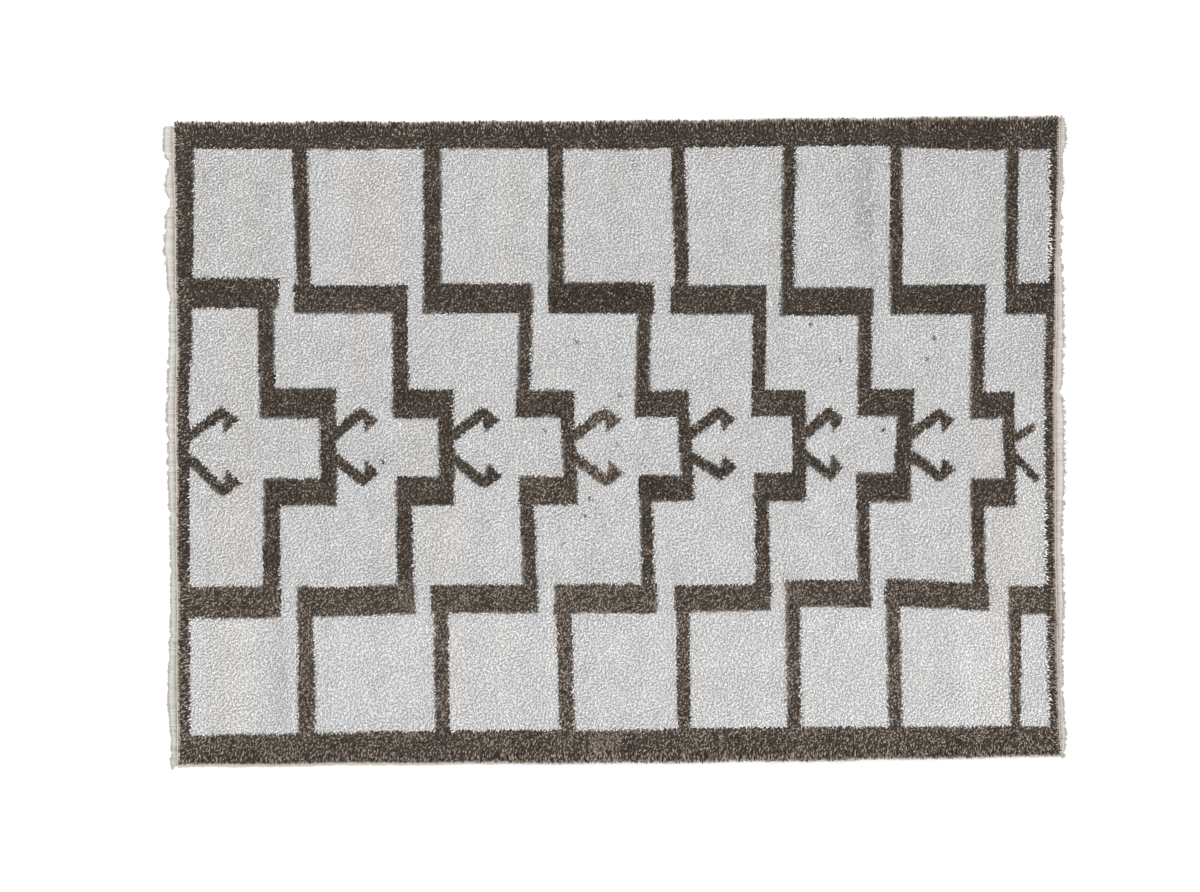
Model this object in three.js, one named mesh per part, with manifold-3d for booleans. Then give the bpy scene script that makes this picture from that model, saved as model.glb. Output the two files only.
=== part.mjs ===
// Tulu rug: knotted wool shag lying flat, bound along its long sides, with a short fringe at each end.
// Millimetres, +Z up. X runs along the warps, Y along the wefts, and z = 0 is the floor.
import * as THREE from 'three';
import { mergeVertices } from 'three/addons/utils/BufferGeometryUtils.js';
import Module from 'manifold-3d';

const wasm = await Module();
wasm.setup();

// Driving dimensions
const PARTING = 0.31; // clear line between neighbouring pieces
const FLATNESS = 0.01; // faces closer than this to one plane are made one
const PILE_HEIGHT = 18; // mean top of the pile
const LUMP = { rise: 4.4, stagger: 8.8, wander: 7 }; // a clump's rise, and how far it lies off the grid
const RIM_DROP = 4; // how much lower the pile is along its rim
const RIM_INSET = 3; // how far the top of the rim draws in
const ROOT_HEIGHT = 7; // height of the ground and the knot roots
const SELVEDGE = { width: 9.5, height: 5.6, cells: 100 }; // whole cells of the slab, each halved
const TWINED_ROW = { width: 7.5, height: 4.6, cells: 72 };
const WEB = { height: 2.6, cells: 36, least: 3, share: 0.4 }; // share of what lies past the twined row

// Cells of the lumpy slab, along X and along Y
const CELLS = { x: 50, y: 36 };

// Edges of the knotted body from the rug's middle, read along X and along Y
const LONG_EDGES = [
  { x: -990, bottom: -719, top: 712 },
  { x: 0, bottom: -710, top: 715 },
  { x: 350, bottom: -706, top: 718 },
  { x: 1000, bottom: -697, top: 724 },
];
const SHORT_EDGES = [
  { y: -720, left: -978, right: 995 },
  { y: -350, left: -978, right: 985 },
  { y: 0, left: -981, right: 982.5 },
  { y: 250, left: -979, right: 985 },
  { y: 725, left: -987, right: 994 },
];

// How far the fringe reaches past the body's short edges, read along Y
const FRINGE_REACH = [
  { y: -730, left: 19, right: 20 },
  { y: -640, left: 25, right: 22 },
  { y: -560, left: 29, right: 18 },
  { y: -460, left: 25, right: 21 },
  { y: -330, left: 23, right: 27 },
  { y: -180, left: 22, right: 26 },
  { y: -60, left: 29, right: 32 },
  { y: 10, left: 25, right: 31 },
  { y: 60, left: 30, right: 34 },
  { y: 120, left: 29, right: 24 },
  { y: 220, left: 27, right: 30 },
  { y: 300, left: 24, right: 25 },
  { y: 325, left: 22, right: 26 },
  { y: 430, left: 34, right: 18 },
  { y: 590, left: 29, right: 18 },
  { y: 632, left: 20, right: 15 },
  { y: 655, left: 31, right: 17 },
  { y: 690, left: 32, right: 26 },
  { y: 730, left: 29, right: 22 },
];

// Warp ends at each end of the rug: how many clumps, and a clump's width at its root and tip
const WARP_ENDS = {
  left: { count: 74, rootWidth: 13, tipWidth: 6, height: 3.2, sway: 3 },
  right: { count: 74, rootWidth: 9, tipWidth: 2.6, height: 3, sway: 5 },
};

// Locks that hang over the rim: how many on each side, and one lock's size and share of clear corner
const RIM_LOCKS = { top: 36, bottom: 36, left: 25, right: 25 };
const LOCK = {
  cornerShare: 0.03,
  inside: 20,
  overhang: 8,
  halfWidth: 13,
  halfHeight: 4.6,
  tipScale: 0.45,
  rootZ: 13,
  tipZ: 9.8,
};

const COLOURS = {
  wool: 0xd6d2ca,
  binding: 0xc9bfae,
  twining: 0xcbbda6,
  warp: 0xd9d5cb,
};

const { lerp } = THREE.MathUtils;

/** A steady number from 0 to 1 for a pair of whole numbers. */
function chance(i, j) {
  const spread = Math.sin(i * 127.1 + j * 311.7) * 43758.5453;
  return spread - Math.floor(spread);
}

/** The same, from -1 to 1. */
function swing(i, j) {
  return 2 * chance(i, j) - 1;
}

/** Reads one column of a table sorted by key, in a straight line between its rows. */
function read(rows, key, at, column) {
  let next = 1;
  while (next < rows.length - 1 && rows[next][key] < at) {
    next += 1;
  }
  const before = rows[next - 1];
  const after = rows[next];
  return lerp(before[column], after[column], (at - before[key]) / (after[key] - before[key]));
}

/** Moves every point of a geometry to where place() puts it. */
function moulded(geometry, place) {
  const points = geometry.getAttribute('position');
  const from = new THREE.Vector3();
  for (let i = 0; i < points.count; i += 1) {
    from.fromBufferAttribute(points, i);
    const to = place(from);
    points.setXYZ(i, to.x, to.y, to.z);
  }
  return geometry;
}

/** A box of whole cells, moulded by place(i, j, k), where i, j and k count its grid lines. */
function mouldedBox(cellsX, cellsY, cellsZ, place) {
  const box = new THREE.BoxGeometry(cellsX, cellsY, cellsZ, cellsX, cellsY, cellsZ);
  return moulded(box, (from) => {
    const i = Math.round(from.x + cellsX / 2);
    const j = Math.round(from.y + cellsY / 2);
    const k = Math.round(from.z + cellsZ / 2);
    return place(i, j, k);
  });
}

/** A closed solid from a geometry, with its shared points merged. */
function solidOf(geometry) {
  geometry.deleteAttribute('normal');
  geometry.deleteAttribute('uv');
  const merged = mergeVertices(geometry, 1e-4);
  return new wasm.Manifold(new wasm.Mesh({
    numProp: 3,
    vertProperties: merged.getAttribute('position').array,
    triVerts: merged.index.array,
  }));
}

/** Joins geometries that run into each other into one closed geometry, with no spare points on flat faces. */
function joined(geometries) {
  const whole = wasm.Manifold.union(geometries.map(solidOf)).asOriginal().simplify(FLATNESS);
  const mesh = whole.getMesh();
  const geometry = new THREE.BufferGeometry();
  geometry.setAttribute('position', new THREE.BufferAttribute(mesh.vertProperties, 3));
  geometry.setIndex(new THREE.BufferAttribute(mesh.triVerts, 1));
  geometry.computeVertexNormals();
  return geometry;
}

/** A point of the knotted body's plan, where u and v run from 0 to 1 across its cells. */
function bodyPoint(u, v) {
  const roughY = lerp(LONG_EDGES[1].bottom, LONG_EDGES[1].top, v);
  const left = read(SHORT_EDGES, 'y', roughY, 'left') + 0.9 * Math.sin(v * 31);
  const right = read(SHORT_EDGES, 'y', roughY, 'right') + 0.9 * Math.sin(v * 27 + 2);
  const x = lerp(left, right, u);
  const bottom = read(LONG_EDGES, 'x', x, 'bottom') + 0.9 * Math.sin(u * 41);
  const top = read(LONG_EDGES, 'x', x, 'top') + 0.9 * Math.sin(u * 37 + 1);
  return new THREE.Vector2(x, lerp(bottom, top, v));
}

// Each side of the body: its cells, the plan point a share t of the way along, and the way out
const SIDES = {
  top: { cells: CELLS.x, at: (t) => bodyPoint(t, 1), out: new THREE.Vector2(0, 1) },
  bottom: { cells: CELLS.x, at: (t) => bodyPoint(t, 0), out: new THREE.Vector2(0, -1) },
  left: { cells: CELLS.y, at: (t) => bodyPoint(0, t), out: new THREE.Vector2(-1, 0) },
  right: { cells: CELLS.y, at: (t) => bodyPoint(1, t), out: new THREE.Vector2(1, 0) },
};

/** A point on the body's faceted edge, moved out by a distance: pieces beside it run parallel to it. At its
 * ends, runOn carries the last facet on past the corner, or stops short of it where runOn is below 0. */
function besideEdge(side, t, distance, runOn = 0) {
  const { cells, at, out } = SIDES[side];
  const cell = Math.min(Math.floor(t * cells), cells - 1);
  const from = at(cell / cells);
  const to = at((cell + 1) / cells);
  const onward = to.clone().sub(from).normalize();
  const atEnd = Number(t === 1) - Number(t === 0);
  const along = from.lerp(to, t * cells - cell).addScaledVector(onward, atEnd * runOn);
  return along.addScaledVector(out, distance);
}

/** A point of the pile's lumpy top: staggered clumps inside, lower and drawn in along the rim. */
function pileTop(i, j, plan) {
  const onEndRim = i === 0 || i === CELLS.x;
  const onSideRim = j === 0 || j === CELLS.y;
  const stagger = j % 2 === 0 ? LUMP.stagger : -LUMP.stagger;
  const crest = (i + Math.floor(j / 2)) % 2 === 0 ? 0.5 : -0.5;
  const top = new THREE.Vector3(plan.x, plan.y, PILE_HEIGHT);
  top.x += onEndRim ? -Math.sign(plan.x) * RIM_INSET : stagger + LUMP.wander * swing(i, j);
  top.y += onSideRim ? -Math.sign(plan.y) * RIM_INSET : LUMP.wander * swing(j, i + 7);
  top.z += LUMP.rise * (crest + 0.5 * swing(i + 3, j + 5));
  top.z -= onEndRim || onSideRim ? RIM_DROP : 0;
  return top;
}

/** The slab of ground and pile: flat below, straight at the knot roots, lumpy on top. */
function slab() {
  const heights = [0, ROOT_HEIGHT];
  return mouldedBox(CELLS.x, CELLS.y, heights.length, (i, j, k) => {
    const plan = bodyPoint(i / CELLS.x, j / CELLS.y);
    return k === heights.length ? pileTop(i, j, plan) : new THREE.Vector3(plan.x, plan.y, heights[k]);
  });
}

/** One four-sided lock of wool: rooted in the slab, tapering and drooping over its rim. */
function rimLock(side, t, seed) {
  const { out } = SIDES[side];
  const lean = out.clone().rotateAround(new THREE.Vector2(), 0.55 * swing(seed, 11));
  const across = new THREE.Vector2(lean.y, -lean.x);
  const root = besideEdge(side, t, -LOCK.inside);
  const length = LOCK.inside + LOCK.overhang + 2.2 * swing(seed, 23);
  const scale = 0.9 + 0.2 * chance(seed, 31);
  return moulded(new THREE.CylinderGeometry(1, 1, 1, 4, 1), (from) => {
    const along = from.y + 0.5;
    const taper = scale * lerp(1, LOCK.tipScale, along * along);
    const plan = root.clone().addScaledVector(lean, along * length);
    plan.addScaledVector(across, from.x * LOCK.halfWidth * taper);
    const z = lerp(LOCK.rootZ, LOCK.tipZ, along * along) + from.z * LOCK.halfHeight * taper;
    return new THREE.Vector3(plan.x, plan.y, z);
  });
}

/** Ground and pile as one solid, with the locks that stand out at its rim. */
function pile() {
  const parts = [slab()];
  Object.entries(RIM_LOCKS).forEach(([side, count], group) => {
    for (let n = 0; n < count; n += 1) {
      const seed = 100 * group + n;
      const t = (n + 0.5 + 0.25 * swing(seed, 5)) / count;
      parts.push(rimLock(side, lerp(LOCK.cornerShare, 1 - LOCK.cornerShare, t), seed));
    }
  });
  return joined(parts);
}

/** A bound long side: a low rounded cord with uneven wraps, beside the slab and past its corners. */
function selvedge(side) {
  const { out } = SIDES[side];
  const pastCorner = TWINED_ROW.width - PARTING;
  const strip = mouldedBox(SELVEDGE.cells, 2, 1, (i, j, k) => {
    const t = i / SELVEDGE.cells;
    const share = out.y > 0 ? j / 2 : 1 - j / 2;
    const fullness = 1 + 0.12 * swing(i, out.y + 40);
    const width = SELVEDGE.width * (share === 1 ? fullness : 1);
    const plan = besideEdge(side, t, PARTING + share * width, pastCorner);
    const crown = share === 0.5 ? 1 : 0.68;
    return new THREE.Vector3(plan.x, plan.y, k * SELVEDGE.height * crown * fullness);
  });
  return joined([strip]);
}

/** The row twined across the warps: a slim ridge whose turns lean one way, then the other. */
function twinedRow(side) {
  const { out } = SIDES[side];
  const strip = mouldedBox(2, TWINED_ROW.cells, 1, (i, j, k) => {
    const t = j / TWINED_ROW.cells;
    const share = out.x > 0 ? i / 2 : 1 - i / 2;
    const plan = besideEdge(side, t, PARTING + share * TWINED_ROW.width, -PARTING);
    const turn = j % 2 === 0 ? 1 : 0.8;
    const crown = share === 0.5 ? 1 : 0.65;
    return new THREE.Vector3(plan.x, plan.y, k * TWINED_ROW.height * crown * turn);
  });
  return joined([strip]);
}

/** Where the fringe's web starts, where it ends and how far its strands reach, past the body's edge. */
function fringeDistances(side, y) {
  const start = TWINED_ROW.width + 2 * PARTING;
  const reach = read(FRINGE_REACH, 'y', y, side);
  const web = Math.max(WEB.least, WEB.share * (reach - start));
  return { start, webEnd: start + web, reach };
}

/** The narrow web that every warp end on one side comes out of. */
function web(side) {
  const { out } = SIDES[side];
  return mouldedBox(1, WEB.cells, 1, (i, j, k) => {
    const t = j / WEB.cells;
    const edge = besideEdge(side, t, 0, SELVEDGE.width);
    const { start, webEnd } = fringeDistances(side, edge.y);
    const outer = (out.x > 0) === (i === 1);
    const plan = edge.addScaledVector(out, outer ? webEnd : start);
    return new THREE.Vector3(plan.x, plan.y, k * WEB.height);
  });
}

/** One three-sided clump of warp ends, level on the floor, rooted inside the web. */
function warpEnd(side, t, seed) {
  const { out } = SIDES[side];
  const { rootWidth, tipWidth, height, sway } = WARP_ENDS[side];
  const edge = besideEdge(side, t, 0);
  const { webEnd, reach } = fringeDistances(side, edge.y);
  const rootInside = 2;
  const across = new THREE.Vector2(out.y, -out.x);
  const root = edge.clone().addScaledVector(out, webEnd - rootInside);
  const length = reach - webEnd + rootInside - 3.5 * chance(seed, 17);
  const bend = sway * swing(seed, 29);
  return moulded(new THREE.CylinderGeometry(1, 1, 1, 3, 1), (from) => {
    const along = from.y + 0.5;
    const baseline = -0.5;
    const width = lerp(rootWidth, tipWidth, along) / Math.sqrt(3);
    const plan = root.clone().addScaledVector(out, along * length);
    plan.addScaledVector(across, from.x * width + bend * along * along);
    const up = Math.max(0, from.z - baseline) / 1.5;
    return new THREE.Vector3(plan.x, plan.y, up * height * lerp(1, 0.7, along));
  });
}

/** A fringed end: the web with its warp ends, as one solid. */
function fringe(side) {
  const { count } = WARP_ENDS[side];
  const parts = [web(side)];
  for (let n = 0; n < count; n += 1) {
    const t = (n + 0.5 + 0.08 * swing(n, 3)) / count;
    parts.push(warpEnd(side, t, n + (side === 'left' ? 0 : 500)));
  }
  return joined(parts);
}

/** A named mesh with a dry, matt fibre finish. */
function piece(name, geometry, color) {
  const material = new THREE.MeshStandardMaterial({ color, roughness: 0.95, metalness: 0 });
  const mesh = new THREE.Mesh(geometry, material);
  mesh.name = name;
  return mesh;
}

/** The whole rug, with the floor point under the middle of its box as origin. */
function tuluRug() {
  const rug = new THREE.Group();
  rug.name = 'tulu_rug';
  rug.add(piece('pile', pile(), COLOURS.wool));
  for (const side of ['top', 'bottom']) {
    rug.add(piece(`selvedge_${side}`, selvedge(side), COLOURS.binding));
  }
  for (const side of ['left', 'right']) {
    rug.add(piece(`twined_row_${side}`, twinedRow(side), COLOURS.twining));
    rug.add(piece(`fringe_${side}`, fringe(side), COLOURS.warp));
  }
  const middle = new THREE.Box3().setFromObject(rug).getCenter(new THREE.Vector3());
  rug.position.set(-middle.x, -middle.y, 0);
  return rug;
}

export default tuluRug();
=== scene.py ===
import math
from collections import namedtuple

import bmesh
import bpy
import numpy as np
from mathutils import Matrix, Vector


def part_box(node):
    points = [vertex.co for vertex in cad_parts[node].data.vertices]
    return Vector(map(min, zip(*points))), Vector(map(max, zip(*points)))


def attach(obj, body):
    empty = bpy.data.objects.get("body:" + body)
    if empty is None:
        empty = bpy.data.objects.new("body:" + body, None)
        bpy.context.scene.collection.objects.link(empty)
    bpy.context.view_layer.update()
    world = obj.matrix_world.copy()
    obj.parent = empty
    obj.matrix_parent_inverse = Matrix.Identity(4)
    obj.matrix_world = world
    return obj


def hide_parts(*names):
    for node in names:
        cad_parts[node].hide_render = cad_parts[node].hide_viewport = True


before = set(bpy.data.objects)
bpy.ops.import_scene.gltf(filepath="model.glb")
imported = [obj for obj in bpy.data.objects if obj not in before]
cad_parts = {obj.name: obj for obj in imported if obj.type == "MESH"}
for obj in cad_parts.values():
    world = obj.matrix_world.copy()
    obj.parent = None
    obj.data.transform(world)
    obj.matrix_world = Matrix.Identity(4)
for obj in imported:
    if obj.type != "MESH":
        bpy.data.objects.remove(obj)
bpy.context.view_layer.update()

RNG = np.random.default_rng(1907)
CM = 0.01
MM = 0.001

# Knots: rows across the warps, knots in a row, the ends that stand up from each, how far an end may stand out
# of its own place, as a share of the pitch, and the most ends that are joined in one piece
ROWS = 192
KNOTS = 176
ENDS_PER_KNOT = 5
END_JITTER = 0.2
MOST_ENDS_IN_A_PIECE = 45000

# The woven ground's top
GROUND_TOP = 3.5 * MM

# The packed lower part of the pile: its top, how uneven that is, how deep its foot is sunk in the ground, how
# far its top stays inside the ground's edge, the share by which its foot does so less, how high up a yarn end
# its colour is taken, and the shade that its dark wool lies about
PACKED_TOP = 8.0 * MM
PACKED_WAVES = 0.6 * MM
PACKED_ROUGHNESS = 0.5 * MM
PACKED_SUNK = 0.5 * MM
PACKED_INSET = 3.5 * MM
PACKED_FLARE = 0.6
# PACKED_RISE takes the packed pile's colour low on an end, where it is darkened: painted shade where the
# packed pile shows between the ends
PACKED_RISE = 0.2
PACKED_SHADE = 0.42

# Yarn ends: how deep they are rooted below the ground's top, their height, width and length across the tip,
# where they are fullest, as a share of their height, and how far they lean with the nap
ROOT_DEPTH = 2.6 * MM
END_HEIGHT = (14.2 * MM, 16.8 * MM)
END_WIDTH = (2.8 * MM, 4.1 * MM)
END_LENGTH = (4.3 * MM, 6.9 * MM)
SHOULDER = 0.85
LEAN = (1.5 * MM, 5.5 * MM)

# How far each end lies its own way, in radians, how late it bends (1 is evenly), and the share of its
# height that it loses when it leans most
OWN_WAY = 0.8
BEND = 1.4
DROOP = 0.12

# Where the chart is read for an end: carried along by the nap, drawn towards the middle of its knot by a
# share of the way, and wandering a little
NAP_SHIFT = 1.0 * MM
TOGETHER = 0.4
CHART_WANDER = 1.0 * MM

# Rim: how deep it is, how its ends crowd towards the edge (1 is not at all), how near the edge (1 is at it)
# they turn their points inwards, the share of the full lean that single ends take, and their own way there
RIM_REACH = 30 * MM
RIM_CROWDING = 1.35
TURNED_IN = 0.7
RIM_SHARE = (0.94, 1.0)
RIM_OWN_WAY = 0.5

# How much less an end leans with the nap at the edge, how much wider it is there, and how much shorter
RIM_STIFFER = 0.7
RIM_WIDER = 0.35
RIM_SHORTER = 0.3

# Waves of the edge: the share of the lean, the size in metres and the seed of each
RIM_WAVES = ((0.15, 0.04, 35), (0.12, 0.015, 36))

# How far the outermost ends lean out over each side, in mm, at even steps along its X or Y
RIM_LEAN = {
    "top": (13.8, 12.7, 12.9, 13.6, 13.8),
    "bottom": (5.2, 4.4, 12.0, 11.8, 7.0),
    "left": (5.0, 5.0, 5.0, 6.4, 3.4),
    "right": (6.4, 6.4, 5.4, 3.8, 5.4),
}

# How far the points of one edge of the slab's foot may lie inside the outermost one
EDGE_WANDER = 30 * MM

# Middle of the chart in the rug's own frame
CHART_MIDDLE = (0.7 * MM, -2.5 * MM)

# The weaver's chart in centimetres from the middle, read off. One row is half a stepped figure: the stem from
# the border (its left side at either end, its width), the wide bar (its ends, its heights away from the
# middle, its rise from left to right), the next stem (the same as the first) and the small bar, whose right
# end carries the inner stem. None: the figure lacks that part.
HalfFigure = namedtuple(
    "HalfFigure",
    "far near stem wide_left wide_right wide_out wide_in rise "
    "joint step mid small_right small_out small_in inner",
)
ABOVE = [
    HalfFigure(None, -98.5, 3.5, -99.0, -75.5, 37.2, 30.3, 0.0, -80.2, -80.0, 3.7, -62.8, 12.4, 5.6, 3.6),
    HalfFigure(-72.6, -71.4, 3.3, -72.1, -46.5, 35.6, 29.3, 0.0, -50.2, -49.9, 3.6, -36.3, 12.2, 5.5, 3.5),
    HalfFigure(-43.0, -42.9, 3.9, -43.2, -18.5, 36.0, 29.2, 0.0, -21.4, -22.2, 3.0, -9.2, 11.9, 5.9, 3.0),
    HalfFigure(-15.0, -14.8, 3.4, -15.0, 8.8, 36.2, 29.1, 0.0, 5.1, 4.5, 3.2, 16.8, 11.9, 5.8, 2.8),
    HalfFigure(12.6, 13.7, 3.2, 12.4, 33.8, 35.6, 29.0, 0.0, 31.1, 30.8, 3.0, 43.0, 12.1, 6.0, 3.4),
    HalfFigure(37.8, 37.3, 2.9, 37.5, 58.2, 35.1, 28.7, 0.0, 54.8, 54.6, 3.1, 67.2, 12.3, 6.0, 3.7),
    HalfFigure(61.9, 61.8, 2.8, 61.8, 83.5, 35.7, 28.9, 0.0, 80.2, 80.0, 3.0, 89.8, 11.6, 5.5, 2.6),
    HalfFigure(88.0, 87.8, 2.8, 88.0, 99.0, 36.1, 29.0, 0.0, None, None, None, None, None, None, None),
]
BELOW = [
    HalfFigure(None, -98.5, 3.5, -99.0, -75.0, 39.4, 32.2, -0.4, -79.2, -79.0, 3.9, -62.6, 14.0, 7.9, 3.6),
    HalfFigure(-71.0, -71.6, 3.7, -71.6, -44.9, 38.8, 32.2, -0.7, -48.9, -49.3, 3.7, -36.2, 14.0, 7.5, 3.3),
    HalfFigure(-40.3, -41.0, 3.4, -41.3, -17.3, 38.3, 31.9, 0.0, -20.5, -21.5, 3.2, -8.4, 14.0, 7.4, 3.1),
    HalfFigure(-12.6, -13.3, 3.6, -13.6, 9.4, 38.2, 31.7, 0.0, 6.2, 5.4, 2.9, 17.9, 13.1, 7.2, 2.9),
    HalfFigure(14.0, 13.6, 3.0, 13.4, 35.3, 37.9, 31.8, -0.5, 31.7, 31.3, 3.2, 43.2, 13.1, 6.6, 3.4),
    HalfFigure(38.8, 38.5, 3.2, 38.5, 57.6, 36.9, 30.7, 0.0, 54.8, 54.2, 2.9, 66.6, 13.3, 6.6, 3.8),
    HalfFigure(61.7, 60.9, 3.1, 60.7, 84.2, 37.1, 31.0, 1.2, 80.6, 80.1, 3.0, 90.3, 14.3, 7.9, 2.6),
    HalfFigure(89.0, 88.8, 2.4, 88.6, 99.0, 38.5, 32.2, 0.0, None, None, None, None, None, None, None),
]

# How far a stem runs into the bar or the border that it comes from, in the same centimetres
OVERLAP = 1.0

# Hooks, in the same centimetres: where each pair starts, the line that it lies about, how far its upper and
# lower hook reach as shares of the usual reach, and how much farther from that line each lies at its elbow
Hook = namedtuple("Hook", "start line reach lower_reach rise drop")
HOOKS = [
    Hook(-95.6, -0.9, 1.13, 1.19, 0.0, 2.0),
    Hook(-63.0, -0.8, 0.98, 1.00, -0.1, -0.2),
    Hook(-36.3, -0.8, 1.04, 1.10, 0.0, 0.4),
    Hook(-8.8, -0.8, 1.02, 1.08, 0.0, -0.1),
    Hook(17.2, -0.5, 1.01, 1.04, -0.2, -1.2),
    Hook(43.0, -0.4, 0.86, 0.84, -0.4, -1.0),
    Hook(67.0, -0.4, 0.95, 0.97, -0.6, -0.5),
]

# One hook, from where its pair starts and from its line: its arm, the corners of its head, and half its
# width
HOOK_ARM = [(0.0, 2.6), (5.8, 7.4)]
HOOK_HEAD = [(6.0, 9.3), (10.0, 6.2), (6.9, 3.1)]
HOOK_HALF_WIDTH = 1.22

# The last pair, beside the right border, is cut off: arms alone, each from its start to its end
CUT_ARMS = [[(89.8, 1.0), (93.6, 3.4)], [(90.0, -3.0), (94.6, -7.8)]]
CUT_ARM_HALF_WIDTH = HOOK_HALF_WIDTH * 0.75

# Inner edges of the dark border, in the same centimetres: along X for top and bottom, along Y for the ends
BORDER_X = [-100, -80, -55, -25, 0, 27, 55, 80, 100]
BORDER_TOP = [66.2, 66.1, 66.0, 66.2, 66.1, 66.6, 66.9, 65.9, 66.2]
BORDER_BOTTOM = [-65.9, -65.4, -64.8, -64.5, -64.5, -63.9, -63.7, -63.5, -63.8]
BORDER_Y = [-72, -40, -20, 0, 12, 25, 45, 72]
BORDER_LEFT = [-95.3, -95.4, -95.5, -95.5, -95.6, -94.9, -94.7, -94.8]
BORDER_RIGHT = [97.7, 97.0, 96.7, 96.5, 96.3, 96.5, 97.5, 97.6]

# Dark ends that strayed into the light field: where, and how many lie together
ENDS_IN_A_STRAY = 4
STRAYS = [
    (-52.0, -4.1), (-8.5, 22.7), (1.1, 10.6), (-15.5, 2.9), (0.5, -0.2), (-5.6, -12.6),
    (-6.7, -16.4), (-11.7, -22.7), (50.9, 18.7), (71.8, 23.6), (70.2, 18.9), (60.5, 2.9),
    (44.1, 26.8),
]

# Lots of light wool: x and y ranges in centimetres, warmth (cool below 0, cream above) and lightness
Lot = namedtuple("Lot", "left right bottom top warmth light")
LOTS = [
    Lot(-100, 100, -66, -38, 0.0, 0.09),
    Lot(40, 98, -66, 66, 0.0, 0.02),
    Lot(-40, 98, -36, 30, 0.0, 0.02),
    Lot(76, 88, -66, -34, -0.1, 0.04),
    Lot(-100, 100, -38, -8, 0.0, 0.03),
    Lot(-97, -74, 36, 66, 0.2, -0.04),
    Lot(-61, -47.5, 36, 66, 0.5, -0.01),
    Lot(-59.5, -57, 12, 36, 0.7, 0.0),
    Lot(-25, -21.5, 36, 66, 0.5, 0.0),
    Lot(-3.5, 1, 36, 66, 0.3, -0.02),
    Lot(53, 58.5, 44, 66, -0.3, -0.13),
    Lot(57, 59.5, 18, 45, -0.4, -0.05),
    Lot(90, 97, 12, 66, 0.1, -0.03),
    Lot(-86, -82, -31, 31, 0.6, -0.02),
    Lot(-90, -82, -64, -10, 0.4, 0.01),
    Lot(-48.5, -40.5, -7, 5, 0.35, 0.0),
    Lot(81, 86.5, -8, 4, 0.5, 0.0),
    Lot(-61, -56, -64, 2, -0.4, 0.01),
    Lot(-43, -35, -31, -10, 0.55, 0.01),
    Lot(-37, -34, -64, -36, 0.55, 0.01),
    Lot(83.5, 93.5, -33, -10, 0.55, 0.0),
    Lot(83.5, 88, -64, -34, 0.55, 0.01),
    Lot(-77.5, -73, -64, -40, -0.1, -0.08),
    Lot(94.5, 97.5, -64, -40, -0.4, 0.01),
]

# Lots of dark wool: x and y ranges in centimetres and how much lighter than the rest
DarkLot = namedtuple("DarkLot", "left right bottom top shade")
DARK_LOTS = [
    DarkLot(-100, 100, -74, -63, 0.18),
    DarkLot(-5.5, 1, -74, -64, 0.32),
    DarkLot(2, 5.5, -74, -64, -0.16),
    DarkLot(-100, 100, -63, -31, 0.17),
    DarkLot(-14, 10, -63, -31, 0.10),
    DarkLot(-22, -8, -14, -7, 0.14),
    DarkLot(-8.5, 2, -11, 9, 0.22),
    DarkLot(-15, 9, 29, 37, -0.14),
    DarkLot(5, 18, -13, -7, -0.10),
    DarkLot(37, 84, 28, 37, -0.05),
]

# How soon a lot falls off over its edges along X and along Y, per centimetre
LOT_FADE = (2.0, 1.2)

# Unevenness inside the lots: how much, how it is drawn out along Y (1 is not at all, less is more), its
# size in metres and its seed. DARK_SHADE is added to all dark wool
Wander = namedtuple("Wander", "amount stretch size seed")
WARMTH_WANDER = Wander(0.15, 0.35, 0.09, 11)
LIGHT_WANDER = Wander(0.015, 0.3, 0.05, 12)
DARK_WANDER = Wander(0.08, 1.0, 0.08, 41)
DARK_SHADE = 0.03

# Unevenness from row to row, and from end to end in warmth, lightness and shade, and the shade that dark
# ends lie about
ROW_SPREAD = 0.012
WARMTH_SPREAD = 0.12
LIGHT_SPREAD = 0.065
SHADE_SPREAD = 0.32
MIDDLE_SHADE = 0.45


# Outline, read from the slab's foot on the floor

def foot_points(node):
    """The points of a node's foot on the floor, as rows of x and y."""
    points = np.array([vertex.co[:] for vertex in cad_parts[node].data.vertices])
    return np.unique(points[points[:, 2] < 1e-5][:, :2].round(6), axis=0)


FOOT = foot_points("pile")
FOOT_LOW = FOOT.min(0)
FOOT_HIGH = FOOT.max(0)
ROW_PITCH = (FOOT_HIGH[0] - FOOT_LOW[0]) / ROWS


def edge_table(side):
    """One edge of the slab's foot: places along it, in order, and how far out it is at each."""
    across = 0 if side in ("left", "right") else 1
    low_side = side in ("left", "bottom")
    limit = FOOT_LOW[across] if low_side else FOOT_HIGH[across]
    near = FOOT[np.abs(FOOT[:, across] - limit) < EDGE_WANDER]
    near = near[np.argsort(near[:, 1 - across])]
    return near[:, 1 - across], near[:, across]


EDGES = {side: edge_table(side) for side in ("left", "right", "bottom", "top")}


def edge_at(side, along):
    """How far out an edge lies at places along it."""
    return np.interp(along, *EDGES[side])


def body_plan(u, v):
    """Plan points of the knotted body for shares u along X and v along Y."""
    rough_y = FOOT_LOW[1] + (FOOT_HIGH[1] - FOOT_LOW[1]) * v
    left = edge_at("left", rough_y)
    x = left + (edge_at("right", rough_y) - left) * u
    bottom = edge_at("bottom", x)
    return x, bottom + (edge_at("top", x) - bottom) * v


# Chart

def between(value, low, high):
    """Whether values lie from low to high."""
    return (value >= low) & (value <= high)


def upright(x, y, from_y, from_x, to_y, to_x, width):
    """A stem between two heights whose left side runs from one place to the other."""
    left = from_x + (to_x - from_x) * (y - from_y) / (to_y - from_y)
    return between(y, min(from_y, to_y), max(from_y, to_y)) & between(x, left, left + width)


def bar(x, y, left, right, inner, outer):
    """A level bar."""
    return between(x, left, right) & between(y, inner, outer)


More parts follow.
